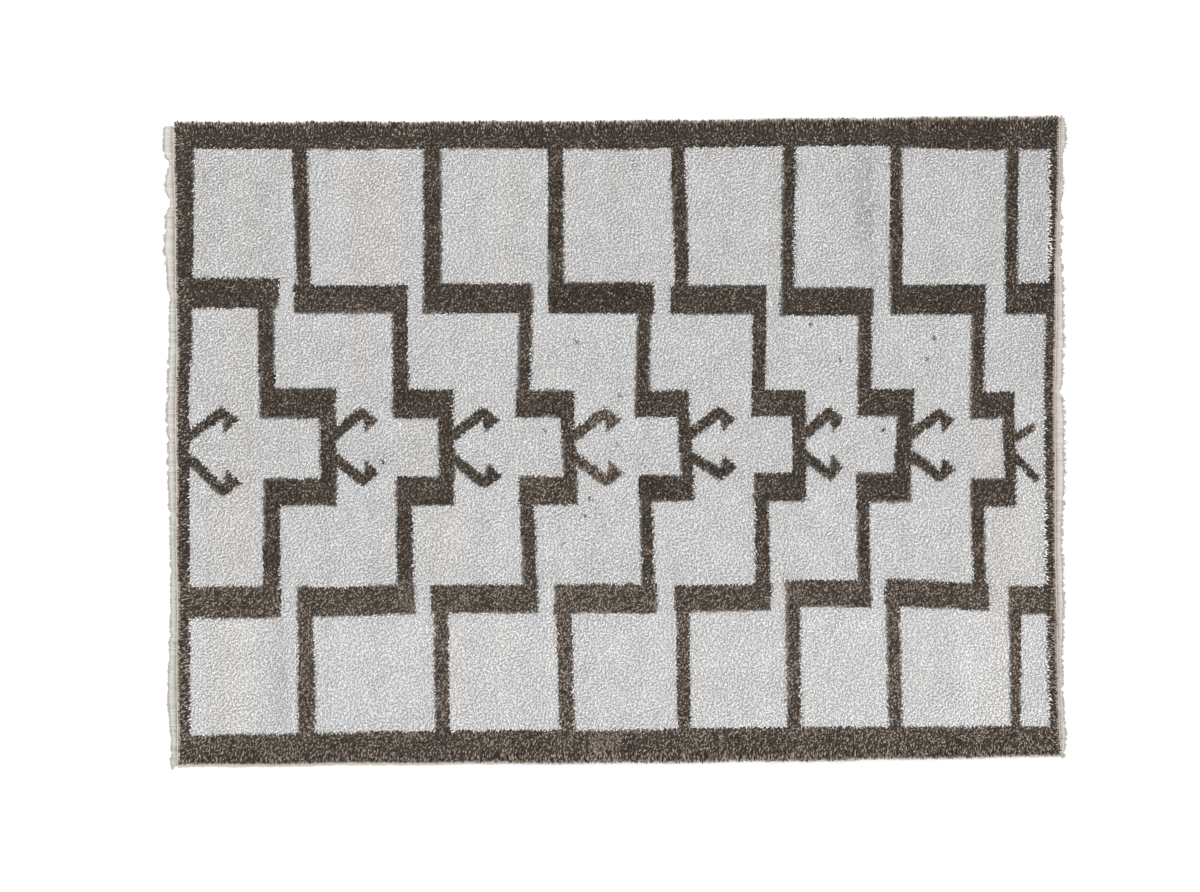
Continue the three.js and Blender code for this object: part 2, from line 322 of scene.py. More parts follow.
def half_figure(x, height, half, border):
    """Half a stepped figure: stem, wide bar, stem, small bar, with heights counted away from the middle."""
    tilt = half.rise * ((x - half.wide_left) / (half.wide_right - half.wide_left) - 0.5)
    dark = bar(x, height - tilt, half.wide_left, half.wide_right, half.wide_in, half.wide_out)
    if half.far is not None:
        dark |= upright(x, height, border, half.far, half.wide_in, half.near, half.stem)
    if half.step is not None:
        dark |= upright(x, height, half.wide_out - OVERLAP, half.joint, half.small_in, half.step, half.mid)
        dark |= bar(x, height, half.step, half.small_right, half.small_in, half.small_out)
    return dark


def thick_line(x, y, start, end, half_width):
    """A straight arm with round ends."""
    run = np.subtract(end, start)
    share = ((x - start[0]) * run[0] + (y - start[1]) * run[1]) / (run @ run)
    share = np.clip(share, 0, 1)
    return np.hypot(x - start[0] - share * run[0], y - start[1] - share * run[1]) <= half_width


def triangle(x, y, corners):
    """A triangle: the points that lie on one side of all its edges."""
    turns = []
    for (ax, ay), (bx, by) in zip(corners, corners[1:] + corners[:1]):
        turns.append((bx - ax) * (y - ay) - (by - ay) * (x - ax))
    return (np.min(turns, axis=0) >= 0) | (np.max(turns, axis=0) <= 0)


def hook_pair(x, y, hook):
    """A pair of hooks: slanting arms that end in a barbed head, one above the middle line and one below."""
    dark = np.zeros(x.shape, bool)
    for turn, reach, apart in ((1, hook.reach, hook.rise), (-1, hook.lower_reach, hook.drop)):
        def place(point):
            share = min(point[0] / HOOK_ARM[1][0], 1)
            return hook.start + point[0] * reach, hook.line + turn * (point[1] + apart * share)
        dark |= thick_line(x, y, place(HOOK_ARM[0]), place(HOOK_ARM[1]), HOOK_HALF_WIDTH)
        dark |= triangle(x, y, [place(corner) for corner in HOOK_HEAD])
    return dark


def is_dark(x, y):
    """Whether the chart has dark wool at points in the rug's frame, in metres."""
    x = (x - CHART_MIDDLE[0]) / CM
    y = (y - CHART_MIDDLE[1]) / CM
    dark = (y > np.interp(x, BORDER_X, BORDER_TOP)) | (y < np.interp(x, BORDER_X, BORDER_BOTTOM))
    dark |= (x < np.interp(y, BORDER_Y, BORDER_LEFT)) | (x > np.interp(y, BORDER_Y, BORDER_RIGHT))
    for upper, lower in zip(ABOVE, BELOW):
        dark |= half_figure(x, y, upper, BORDER_TOP[0] + OVERLAP)
        dark |= half_figure(x, -y, lower, -BORDER_BOTTOM[0] + OVERLAP)
        if upper.inner is not None:
            top = upper.small_right - upper.inner
            bottom = lower.small_right - lower.inner
            dark |= upright(x, y, upper.small_in, top, -lower.small_in, bottom, upper.inner)
    for hook in HOOKS:
        dark |= hook_pair(x, y, hook)
    for start, end in CUT_ARMS:
        dark |= thick_line(x, y, start, end, CUT_ARM_HALF_WIDTH)
    return dark


# Slow variation over the rug

def drift(x, y, size, seed):
    """Smooth wandering value, about -1 to 1, with features of about that size."""
    waves = 6
    usual_peak = 3.2
    dice = np.random.default_rng(seed)
    total = np.zeros_like(x)
    for heading in dice.uniform(0, math.tau, waves):
        pitch = math.tau / (size * dice.uniform(0.7, 1.8))
        phase = dice.uniform(0, math.tau)
        total += np.sin(pitch * (x * math.cos(heading) + y * math.sin(heading)) + phase)
    return total / usual_peak


def inside(lot, x, y):
    """How far points belong to a lot: 1 inside it, falling off over its edges."""
    x = (x - CHART_MIDDLE[0]) / CM
    y = (y - CHART_MIDDLE[1]) / CM
    gap_x = np.maximum(lot.left - x, x - lot.right)
    gap_y = np.maximum(lot.bottom - y, y - lot.top)
    return 1 / (1 + np.exp(LOT_FADE[0] * gap_x)) / (1 + np.exp(LOT_FADE[1] * gap_y))


def wandering(x, y, wander):
    """An unevenness at points in the rug's frame."""
    return wander.amount * drift(x, y * wander.stretch, wander.size, wander.seed)


def light_tone(x, y):
    """Warmth and lightness of the light wool at points in the rug's frame."""
    warmth = wandering(x, y, WARMTH_WANDER)
    light = wandering(x, y, LIGHT_WANDER)
    for lot in LOTS:
        warmth = warmth + lot.warmth * inside(lot, x, y)
        light = light + lot.light * inside(lot, x, y)
    return warmth, light


def dark_tone(x, y):
    """Shade of the dark wool at points in the rug's frame."""
    shade = DARK_SHADE + wandering(x, y, DARK_WANDER)
    for lot in DARK_LOTS:
        shade = shade + lot.shade * inside(lot, x, y)
    return shade


# Mesh helpers

def new_object(name, mesh, material):
    """An object in the scene from a mesh."""
    mesh.materials.append(material)
    piece = bpy.data.objects.new(name, mesh)
    bpy.context.scene.collection.objects.link(piece)
    return piece


def mesh_of(bm, name):
    """A mesh with outward faces from a bmesh, which is freed."""
    bmesh.ops.recalc_face_normals(bm, faces=bm.faces)
    mesh = bpy.data.meshes.new(name)
    bm.to_mesh(mesh)
    bm.free()
    return mesh


def form_arrays(bm):
    """Corners and triangles of a small form, as arrays. The bmesh is freed."""
    bmesh.ops.triangulate(bm, faces=bm.faces)
    bmesh.ops.recalc_face_normals(bm, faces=bm.faces)
    bm.verts.index_update()
    corners = np.array([vertex.co[:] for vertex in bm.verts])
    faces = np.array([[vertex.index for vertex in face.verts] for face in bm.faces])
    bm.free()
    return corners, faces


def joined_copies(name, points, faces, values, material):
    """One mesh of many copies of a small form. points: copies x corners x 3. values: name to an array
    of copies x corners, or of copies alone."""
    copies, corners, _ = points.shape
    triangles = (faces[None] + np.arange(copies)[:, None, None] * corners).reshape(-1, 3)
    mesh = bpy.data.meshes.new(name)
    mesh.vertices.add(copies * corners)
    mesh.vertices.foreach_set("co", points.astype(np.float32).ravel())
    mesh.loops.add(triangles.size)
    mesh.loops.foreach_set("vertex_index", triangles.astype(np.int32).ravel())
    mesh.polygons.add(len(triangles))
    mesh.polygons.foreach_set("loop_start", np.arange(0, triangles.size, 3, dtype=np.int32))
    mesh.polygons.foreach_set("use_smooth", np.ones(len(triangles), bool))
    mesh.update(calc_edges=True)
    for label, value in values.items():
        spread = np.broadcast_to(np.reshape(value, (copies, -1)), (copies, corners))
        attribute = mesh.attributes.new(label, "FLOAT", "POINT")
        attribute.data.foreach_set("value", spread.astype(np.float32).ravel())
    flat_map = mesh.uv_layers.new(name="OFBake")
    plan = points[..., :2].reshape(-1, 2)
    low = plan.min(0)
    size = (plan.max(0) - low).max()
    flat_map.data.foreach_set("uv", ((plan - low) / size)[triangles.ravel()].astype(np.float32).ravel())
    return new_object(name, mesh, material)


# Materials

def material_tree(name):
    """A new material, its nodes and its shader."""
    material = bpy.data.materials.new(name)
    material.use_nodes = True
    tree = material.node_tree
    return material, tree, tree.nodes["Principled BSDF"]


def node(tree, kind, settings=(), **sockets):
    """A shader node with its settings and its input values or links."""
    made = tree.nodes.new(kind)
    for key, value in dict(settings).items():
        setattr(made, key, value)
    for key, value in sockets.items():
        socket = made.inputs[int(key[1:])] if key[0] == "_" else made.inputs[key.replace("_", " ")]
        if isinstance(value, bpy.types.NodeSocket):
            tree.links.new(value, socket)
        else:
            socket.default_value = value
    return made


def attribute(tree, name):
    """A value that the mesh carries."""
    return node(tree, "ShaderNodeAttribute", {"attribute_name": name}).outputs["Fac"]


def maths(tree, operation, *values):
    """The result of a sum on values or links."""
    sockets = {f"_{number}": value for number, value in enumerate(values)}
    return node(tree, "ShaderNodeMath", {"operation": operation}, **sockets).outputs[0]


def mixed(tree, share, first, second):
    """Two colours mixed by a share."""
    mix = node(tree, "ShaderNodeMix", {"data_type": "RGBA"}, _0=share, _6=first, _7=second)
    return mix.outputs[2]


def scaled(tree, colour, amount):
    """A colour made lighter or darker by an amount."""
    return node(tree, "ShaderNodeVectorMath", {"operation": "SCALE"}, _0=colour, Scale=amount).outputs[0]


def grain(tree, scale, low, high):
    """An amount near 1 that varies from fibre to fibre."""
    place = node(tree, "ShaderNodeTexCoord").outputs["Object"]
    noise = node(tree, "ShaderNodeTexNoise", Vector=place, Scale=scale, Detail=2.0, Roughness=0.6)
    spread = node(tree, "ShaderNodeMapRange", Value=noise.outputs["Fac"],
                  From_Min=0.32, From_Max=0.68, To_Min=low, To_Max=high)
    return spread.outputs["Result"]


def painted_root_shade(tree, root, middle):
    """An amount that darkens an end towards its root: mostly painted shade between the ends, partly the tips'
    paler wool.
    """
    stops = [(0.0, grey(root)), (SHOULDER, grey(middle)), (1.0, grey(1.0))]
    return ramp(tree, attribute(tree, "rise"), stops)


def ramp(tree, value, stops):
    """A colour ramp of (place, colour) stops."""
    made = node(tree, "ShaderNodeValToRGB", Fac=value)
    elements = made.color_ramp.elements
    while len(elements) < len(stops):
        elements.new(0.5)
    for element, (place, colour) in zip(elements, stops):
        element.position = place
        element.color = colour
    return made.outputs["Color"]


def fibre(tree, shader, scale, strength, depth):
    """Fine fibres: a stretched noise that roughens the surface and its gloss."""
    place = node(tree, "ShaderNodeTexCoord").outputs["Object"]
    noise = node(tree, "ShaderNodeTexNoise", Vector=place, Scale=scale, Detail=3.0, Roughness=0.6)
    bump = node(tree, "ShaderNodeBump", Height=noise.outputs["Fac"], Strength=strength, Distance=depth)
    tree.links.new(bump.outputs["Normal"], shader.inputs["Normal"])
    return noise.outputs["Fac"]


def grey(level):
    """A neutral colour."""
    return (level, level, level, 1.0)


def soft_fabric(shader):
    """A matt surface with a slight sheen."""
    surface = {"Roughness": 0.95, "Specular IOR Level": 0.15, "Sheen Weight": 0.05, "Sheen Roughness": 0.6}
    for socket, value in surface.items():
        shader.inputs[socket].default_value = value


# A wool: the attribute that places an end among its colours, those colours, how dark its root and middle are
# painted, mostly as painted shade between the ends and partly as the tips' paler wool, and the scale and
# range of its grain
Wool = namedtuple("Wool", "tone colours root middle grains")
LIGHT_WOOL = Wool(
    "warmth",
    [(0.0, (0.80, 0.81, 0.835, 1)), (0.5, (0.828, 0.823, 0.824, 1)), (1.0, (0.848, 0.815, 0.781, 1))],
    0.43, 0.94, (800.0, 0.66, 1.33),
)
DARK_WOOL = Wool(
    "shade",
    [(0.0, (0.050, 0.039, 0.031, 1)), (0.5, (0.145, 0.118, 0.095, 1)), (0.8, (0.26, 0.215, 0.175, 1)),
     (1.0, (0.44, 0.37, 0.305, 1))],
    0.24, 0.78, (700.0, 0.34, 1.78),
)


def wool_colour(tree, wool):
    """The colour of a wool: by its tone, darker at the root with painted shade, varied end by end and fibre
    by fibre.
    """
    colour = ramp(tree, attribute(tree, wool.tone), wool.colours)
    colour = scaled(tree, colour, attribute(tree, "light"))
    colour = scaled(tree, colour, grain(tree, *wool.grains))
    # Painted shade: darker towards the root, where the ends shade each other
    return scaled(tree, colour, painted_root_shade(tree, wool.root, wool.middle))


def wool_surface(name):
    """A new material with the surface of wool, still without its colour."""
    material, tree, shader = material_tree(name)
    soft_fabric(shader)
    fibre(tree, shader, scale=900.0, strength=0.35, depth=0.4 * MM)
    return material, tree, shader


def wool_material(name, wool):
    """One wool of the pile."""
    material, tree, shader = wool_surface(name)
    tree.links.new(wool_colour(tree, wool), shader.inputs["Base Color"])
    return material


def packed_material():
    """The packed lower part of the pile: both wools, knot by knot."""
    material, tree, shader = wool_surface("packed_wool")
    # Both wools are darkened as low on an end, by the packed pile's rise: painted shade between the yarn ends
    light = wool_colour(tree, LIGHT_WOOL)
    dark = wool_colour(tree, DARK_WOOL)
    tree.links.new(mixed(tree, attribute(tree, "dark_knot"), light, dark), shader.inputs["Base Color"])
    return material


# Yarns of the edges, by their material's name: their light and dark tone, the scale of their fibres and,
# where they lie in loose ends, how uneven those are and how light they are at the root
Yarn = namedtuple("Yarn", "light dark scale uneven root", defaults=(0.0, 1.0))
YARNS = {
    "binding_yarn": Yarn((0.66, 0.61, 0.53, 1), (0.51, 0.46, 0.39, 1), 380.0),
    # The twining yarns are painted lighter than their own tan, the right one a little more, to lift them out
    # of the shadow that the pile casts over them: painted light
    "twining_yarn_left": Yarn((0.83, 0.75, 0.66, 1), (0.73, 0.65, 0.56, 1), 420.0),
    "twining_yarn_right": Yarn((0.84, 0.76, 0.66, 1), (0.74, 0.66, 0.56, 1), 420.0),
    "warp_yarn_left": Yarn((0.64, 0.63, 0.585, 1), (0.46, 0.445, 0.405, 1), 500.0, 0.22, 0.86),
    "warp_yarn_right": Yarn((0.62, 0.60, 0.555, 1), (0.48, 0.455, 0.41, 1), 500.0, 0.22, 0.94),
    "web_yarn_left": Yarn((0.61, 0.60, 0.56, 1), (0.54, 0.525, 0.485, 1), 500.0),
    "web_yarn_right": Yarn((0.62, 0.59, 0.545, 1), (0.54, 0.51, 0.465, 1), 500.0),
}


def yarn_material(name, yarn):
    """A plain spun yarn in two tones. Where it lies in loose ends, they are uneven and paler outwards."""
    at_tip = 1.04
    material, tree, shader = material_tree(name)
    tone = fibre(tree, shader, yarn.scale, strength=0.5, depth=0.5 * MM)
    if yarn.uneven:
        tone = maths(tree, "MULTIPLY_ADD", attribute(tree, "shade"), yarn.uneven, tone)
    tone = ramp(tree, tone, [(0.35, yarn.dark), (0.65, yarn.light)])
    if yarn.uneven:
        paler = maths(tree, "MULTIPLY_ADD", attribute(tree, "rise"), at_tip - yarn.root, yarn.root)
        tone = scaled(tree, tone, paler)
    tree.links.new(tone, shader.inputs["Base Color"])
    soft_fabric(shader)
    return material


def ground_weave():
    """The back: weft ribs across the warps, with the backs of the dark and light knots between them."""
    two_row_ribs = 1 / (6 * ROW_PITCH)
    light_knot = (0.72, 0.70, 0.66, 1)
    dark_knot = (0.10, 0.08, 0.06, 1)
    weft_yarn = (0.52, 0.47, 0.40, 1)
    material, tree, shader = material_tree("ground_weave")
    place = node(tree, "ShaderNodeTexCoord").outputs["Object"]
    ribs = node(tree, "ShaderNodeTexWave", {"bands_direction": "X"}, Vector=place,
                Scale=two_row_ribs, Distortion=1.5, Detail=2.0)
    specks = node(tree, "ShaderNodeTexNoise", Vector=place, Scale=260.0, Detail=3.0)
    knots = mixed(tree, attribute(tree, "dark_knot"), light_knot, dark_knot)
    height = node(tree, "ShaderNodeSeparateXYZ", Vector=place).outputs["Z"]
    at_back = maths(tree, "LESS_THAN", height, GROUND_TOP / 2)
    rib = maths(tree, "MULTIPLY", maths(tree, "GREATER_THAN", ribs.outputs["Fac"], 0.6), at_back)
    weft = mixed(tree, rib, knots, weft_yarn)
    final = scaled(tree, weft, maths(tree, "MULTIPLY_ADD", specks.outputs["Fac"], 0.5, 0.75))
    height = maths(tree, "ADD", ribs.outputs["Fac"], specks.outputs["Fac"])
    bump = node(tree, "ShaderNodeBump", Height=height, Strength=0.7, Distance=0.001)
    tree.links.new(bump.outputs["Normal"], shader.inputs["Normal"])
    tree.links.new(final, shader.inputs["Base Color"])
    soft_fabric(shader)
    return material


# Ground and packed pile

def celled_slab(name, material, place, crisp):
    """A closed slab over the knotted body, with a cell for each knot on its first face and a plain second
    face, which is one large face and takes the wool at its own corners. place() takes shares along X and Y,
    and 1 for the second face, and gives points. crisp: 1 where a cell has one colour, less where its corners
    may differ."""
    corners_of_a_cell = 4
    bm = bmesh.new()
    bmesh.ops.create_grid(bm, x_segments=ROWS, y_segments=KNOTS, size=0.5)
    rim = [edge for edge in bm.edges if edge.is_boundary]
    extruded = bmesh.ops.extrude_edge_only(bm, edges=rim)["geom"]
    second = [part for part in extruded if isinstance(part, bmesh.types.BMVert)]
    bmesh.ops.translate(bm, verts=second, vec=(0, 0, 1))
    bmesh.ops.holes_fill(bm, edges=[edge for edge in bm.edges if edge.is_boundary])
    shares = np.array([vertex.co[:] for vertex in bm.verts])
    for vertex, point in zip(bm.verts, place(shares[:, 0] + 0.5, shares[:, 1] + 0.5, shares[:, 2])):
        vertex.co = point
    mesh = mesh_of(bm, name)
    sizes = np.array([len(face.vertices) for face in mesh.polygons])
    middles = np.repeat([face.center[:2] for face in mesh.polygons], sizes, 0)
    drawn_in = np.repeat(np.where(sizes > corners_of_a_cell, 0, crisp), sizes)
    corners = np.array([mesh.vertices[loop.vertex_index].co[:2] for loop in mesh.loops])
    seen = corners + (middles - corners) * drawn_in[:, None]
    dark = is_dark(seen[:, 0], seen[:, 1]).astype(np.float32)
    mesh.attributes.new("dark_knot", "FLOAT", "CORNER").data.foreach_set("value", dark)
    return new_object(name, mesh, material)


def ground_cloth(material):
    """The woven ground, whose back shows the knots cell by cell."""
    def place(u, v, second):
        return np.column_stack([*body_plan(u, v), GROUND_TOP * second])
    return celled_slab("ground_cloth", material, place, 1)


def packed_pile(material):
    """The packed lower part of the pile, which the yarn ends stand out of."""
    def place(u, v, second):
        inset = PACKED_INSET * (1 - PACKED_FLARE * second)
        u = u + inset / (FOOT_HIGH[0] - FOOT_LOW[0]) * (1 - 2 * u)
        v = v + inset / (FOOT_HIGH[1] - FOOT_LOW[1]) * (1 - 2 * v)
        x, y = body_plan(u, v)
        top = PACKED_TOP + PACKED_WAVES * drift(x, y, 0.03, 24)
        top = top + RNG.uniform(-PACKED_ROUGHNESS, PACKED_ROUGHNESS, len(x))
        return np.column_stack([x, y, np.where(second > 0, GROUND_TOP - PACKED_SUNK, top)])

    crisp = 0.4
    piece = celled_slab("packed_pile", material, place, crisp)
    points = np.array([vertex.co[:] for vertex in piece.data.vertices])
    warmth, light = light_tone(points[:, 0], points[:, 1])
    shade = PACKED_SHADE + dark_tone(points[:, 0], points[:, 1])
    # Its colour is taken low on an end, which darkens it: painted shade between the yarn ends
    rise = np.full(len(points), PACKED_RISE)
    values = {"rise": rise, "warmth": 0.5 + 0.5 * warmth, "light": 1 + light, "shade": shade}
    for label, value in values.items():
        channel = piece.data.attributes.new(label, "FLOAT", "POINT")
        channel.data.foreach_set("value", value.astype(np.float32))
    return piece


# Pile

def yarn_end_form():
    """One yarn end, one unit high: gathered in its knot, fullest at its shoulder, and drawn out along +Y."""
    bm = bmesh.new()
    bmesh.ops.create_cone(bm, cap_ends=True, segments=3, radius1=0, radius2=0.5, depth=SHOULDER)
    bmesh.ops.remove_doubles(bm, verts=bm.verts, dist=1e-5)
    bmesh.ops.translate(bm, verts=bm.verts, vec=(0, 0, SHOULDER / 2))
    tip = max(bm.verts, key=lambda vertex: vertex.co.y)
    tip.co.z = 1
    return form_arrays(bm)


def nap_heading(x, y):
    """The way the pile lies, which swirls slowly over the rug."""
    main_way = math.radians(-115)
    return main_way + 0.5 * drift(x, y, 0.22, 31) + 0.35 * drift(x, y, 0.06, 32)


def pile_points():
    """The row of each yarn end, where it is rooted and whether it is dark. The chart is read where the end
    comes to lie, drawn towards the middle of its knot, and not at its root."""
    row, knot, end = np.meshgrid(np.arange(ROWS), np.arange(KNOTS), np.arange(ENDS_PER_KNOT), indexing="ij")
    row, knot, end = row.ravel(), knot.ravel(), end.ravel()
    count = len(row)
    share_x = (end + 0.5) / ENDS_PER_KNOT
    share_y = (end * 2 % ENDS_PER_KNOT + 0.5) / ENDS_PER_KNOT
    u = (row + share_x + RNG.uniform(-END_JITTER, END_JITTER, count)) / ROWS
    v = (knot + share_y + RNG.uniform(-END_JITTER, END_JITTER, count)) / KNOTS
    at_edge = 0.001
    x, y = body_plan(np.clip(u, at_edge, 1 - at_edge), np.clip(v, at_edge, 1 - at_edge))
    knot_x, knot_y = body_plan((row + 0.5) / ROWS, (knot + 0.5) / KNOTS)
    nap = nap_heading(knot_x, knot_y)
    seen_x = x + (knot_x - x) * TOGETHER + NAP_SHIFT * np.cos(nap) + CHART_WANDER * drift(x, y, 0.03, 21)
    seen_y = y + (knot_y - y) * TOGETHER + NAP_SHIFT * np.sin(nap) + CHART_WANDER * drift(x, y, 0.03, 22)
    dark = is_dark(seen_x, seen_y)
    for stray_x, stray_y in STRAYS:
        gap = np.hypot(x - stray_x * CM - CHART_MIDDLE[0], y - stray_y * CM - CHART_MIDDLE[1] - NAP_SHIFT)
        dark[np.argsort(gap)[:ENDS_IN_A_STRAY]] = True
    return row, x, y, dark


def rim_lean(x, y):
    """How far each end leans out over the rim, along X and along Y, and how near the edge it is, from 0
    where the rim starts to 1 at the edge."""
    total = np.zeros((2, len(x)))
    nearest = np.zeros(len(x))
    for side, amount in RIM_LEAN.items():
        axis, along, across = (0, y, x) if side in ("left", "right") else (1, x, y)
        depth = np.clip(np.abs(edge_at(side, along) - across) / RIM_REACH, 0, 1)
        nearest = np.maximum(nearest, 1 - depth)
        most = np.interp(along, np.linspace(along.min(), along.max(), len(amount)), amount) * MM
        waves = 1.0
        for share, size, seed in RIM_WAVES:
            waves = waves + share * drift(along, along * 0, size, seed)
        most = most * waves
        leant = depth * RIM_REACH + most - (RIM_REACH + most) * depth ** RIM_CROWDING
        total[axis] += (-1 if side in ("left", "bottom") else 1) * leant
    return total, nearest


def end_shapes(x, y, form):
    """The corners of every yarn end: each leans with the nap and a little its own way. In the rim all lean
    outwards, and the outermost turn their points back in, which keeps the edge even."""
    count = len(x)
    heading = nap_heading(x, y) + RNG.normal(0, OWN_WAY, count)
    height = RNG.uniform(*END_HEIGHT, count) * (1 + 0.05 * drift(x, y, 0.07, 34))
    over_rim, nearest = rim_lean(x, y)
    over_rim = over_rim * RNG.uniform(*RIM_SHARE, count)
    lean = RNG.uniform(*LEAN, count) * (1 - RIM_STIFFER * nearest)
    lean_x, lean_y = over_rim + lean * np.array([np.cos(heading), np.sin(heading)])
    heading = np.arctan2(lean_y, lean_x) + RNG.normal(0, RIM_OWN_WAY, count) * nearest
    heading = heading + np.where(nearest > TURNED_IN, math.pi, 0)
    across = (RNG.uniform(*END_WIDTH, count) * (1 + RIM_WIDER * nearest))[:, None] * form[:, 0]
    along = (RNG.uniform(*END_LENGTH, count) * (1 - RIM_SHORTER * nearest))[:, None] * form[:, 1]
    cos, sin = np.cos(heading)[:, None], np.sin(heading)[:, None]
    local_x = along * cos - across * sin
    local_y = along * sin + across * cos
    bend = form[:, 2] ** BEND
    points = np.empty((count, len(form), 3))
    points[..., 0] = x[:, None] + local_x + lean_x[:, None] * bend
    points[..., 1] = y[:, None] + local_y + lean_y[:, None] * bend
    droop = DROOP * (lean / LEAN[1])[:, None] * bend
    points[..., 2] = GROUND_TOP - ROOT_DEPTH + height[:, None] * (form[:, 2] - droop)
    return points


def pile_pieces(light_material, dark_material):
    """All the pile, as joined yarn ends in a few pieces for each wool."""
    form, faces = yarn_end_form()
    row, x, y, dark = pile_points()
    points = end_shapes(x, y, form)
    warmth, lightness = light_tone(x, y)
    shade = dark_tone(x, y)
    count = len(x)
    row_tone = RNG.normal(0, ROW_SPREAD, ROWS)[row]
    own_warmth = RNG.normal(0, WARMTH_SPREAD, count)
    own_light = RNG.normal(0, 1, count) * (LIGHT_SPREAD + np.maximum(-lightness, 0))
    # The dark ends' spread, larger where the dark wool is lighter, is partly random tone and partly painted
    # highlight: sheen on lit tips against shaded gaps
    own_shade = RNG.normal(0, 1, count) * (SHADE_SPREAD + np.maximum(shade, 0))
    values = {
        "rise": np.broadcast_to(form[:, 2], (count, len(form))),
        "warmth": 0.5 + 0.5 * warmth + own_warmth,
        "light": 1.0 + lightness + row_tone + own_light,
        "shade": np.clip(MIDDLE_SHADE + shade + own_shade, 0, 1),
    }
    pieces = []
    for name, mask, material, tone in (
            ("light_pile", ~dark, light_material, "warmth"), ("dark_pile", dark, dark_material, "shade")):
        labels = ("rise", "light", tone)
        chosen = np.flatnonzero(mask)
        chosen = chosen[np.argsort(row[chosen], kind="stable")]
        parts = np.array_split(chosen, math.ceil(len(chosen) / MOST_ENDS_IN_A_PIECE))
        for number, part in enumerate(parts, 1):
            own = {label: values[label][part] for label in labels}
            pieces.append(joined_copies(f"{name}_{number}", points[part], faces, own, material))
    return pieces


# Edges

def tube(name, stations, sides, place, material):
    """A closed tube: place() takes shares along it and round it, as arrays, and gives points."""
    bm = bmesh.new()
    bmesh.ops.create_grid(bm, x_segments=stations, y_segments=sides, size=0.5)
    shares = np.array([vertex.co[:] for vertex in bm.verts]) + 0.5
    for vertex, point in zip(bm.verts, place(shares[:, 0], shares[:, 1] % 1.0)):
        vertex.co = point
    bmesh.ops.remove_doubles(bm, verts=bm.verts, dist=1e-6)
    bmesh.ops.holes_fill(bm, edges=[edge for edge in bm.edges if edge.is_boundary])
    mesh = mesh_of(bm, name)
    mesh.shade_smooth()
    return new_object(name, mesh, material)


def join(parts, name):
    """Several objects joined into one of that name."""
    bm = bmesh.new()
    for part in parts:
        bm.from_mesh(part.data)
    mesh = bpy.data.meshes.new(name)
    bm.to_mesh(mesh)
    bm.free()
    material = parts[0].data.materials[0]
    for part in parts:
        bpy.data.objects.remove(part)
    return new_object(name, mesh, material)


# Every edge piece starts this far from the slab
PARTING = 0.3 * MM

# Bound sides: width and height, the shares of the height at which their middle lies and that lie above and
# below it, the pitch of the wraps, how far they run past the slab's corners at the left and at the right,
# and how uneven, slanting, round and deeply parted the wraps are
SELVEDGE_WIDTH = 9.5 * MM
SELVEDGE_HEIGHT = 5.8 * MM
SELVEDGE_LEVEL = 0.42
SELVEDGE_HALF = 0.56
WRAP_PITCH = 5.0 * MM
PAST_LEFT = 5 * MM
PAST_RIGHT = 4 * MM
WRAP_UNEVEN = 0.06
WRAP_SLANT = 0.35
WRAP_ROUND = 0.7
WRAP_GROOVE = 0.13

# How much wider than that each bound side is, outwards, in mm, at even steps along X, and how much it
# wavers
BOUND_WAVES = 0.8 * MM
BOUND_OUT = {"top": (0.0, 0.0, 1.2, 3.0, 3.2), "bottom": (1.8, 0.8, 2.4, 2.4, 0.0)}


def bound_side(side, material):
    """A long side overcast with yarn: a flat-bottomed cord with slanting wraps."""
    out = 1 if side == "top" else -1
    corner_y = FOOT_HIGH[1] if side == "top" else FOOT_LOW[1]
    start = edge_at("left", corner_y) - PAST_LEFT
    end = edge_at("right", corner_y) + PAST_RIGHT
    wraps = round((end - start) / WRAP_PITCH)
    dice = np.random.default_rng(50 + out)
    fullness = dice.normal(0, WRAP_UNEVEN, wraps + 2)

    def place(along, round_share):
        angle = round_share * math.tau
        x = start + (end - start) * along
        wrap = along * wraps + WRAP_SLANT * np.sin(angle)
        ridge = np.abs(np.sin(math.pi * wrap)) ** WRAP_ROUND
        full = 1 + fullness[np.clip(wrap.astype(int) + 1, 0, wraps + 1)] - WRAP_GROOVE * (1 - ridge)
        farther = np.interp(x, np.linspace(start, end, len(BOUND_OUT[side])), BOUND_OUT[side]) * MM
        width = (SELVEDGE_WIDTH + farther + BOUND_WAVES * drift(x, x * 0, 0.03, 51)) * full
        y = edge_at(side, x) + out * (PARTING + width * (0.5 + 0.5 * np.cos(angle)))
        z = np.maximum(0, SELVEDGE_HEIGHT * (SELVEDGE_LEVEL + SELVEDGE_HALF * full * np.sin(angle)))
        return np.column_stack([x, y, z])

    return tube(f"bound_side_{side}", stations=wraps * 2, sides=6, place=place, material=material)


# Twined rows: the width that they take up, half the width of one, where the middle of each lies, how high
# it lies, half its height, how much it wavers, and the pitch, slant and waist of its turns
ROW_WIDTH = 7.5 * MM
TWINING_HALF_WIDTH = 1.3 * MM
TWINING_APART = (1.3 * MM, 6.4 * MM)
TWINING_LEVEL = 2.2 * MM
TWINING_HALF_HEIGHT = 1.5 * MM
TWINING_WAVES = 0.3 * MM
TWIST_PITCH = 5.5 * MM
TWIST_SLANT = 0.4
TWIST_WAIST = 0.72


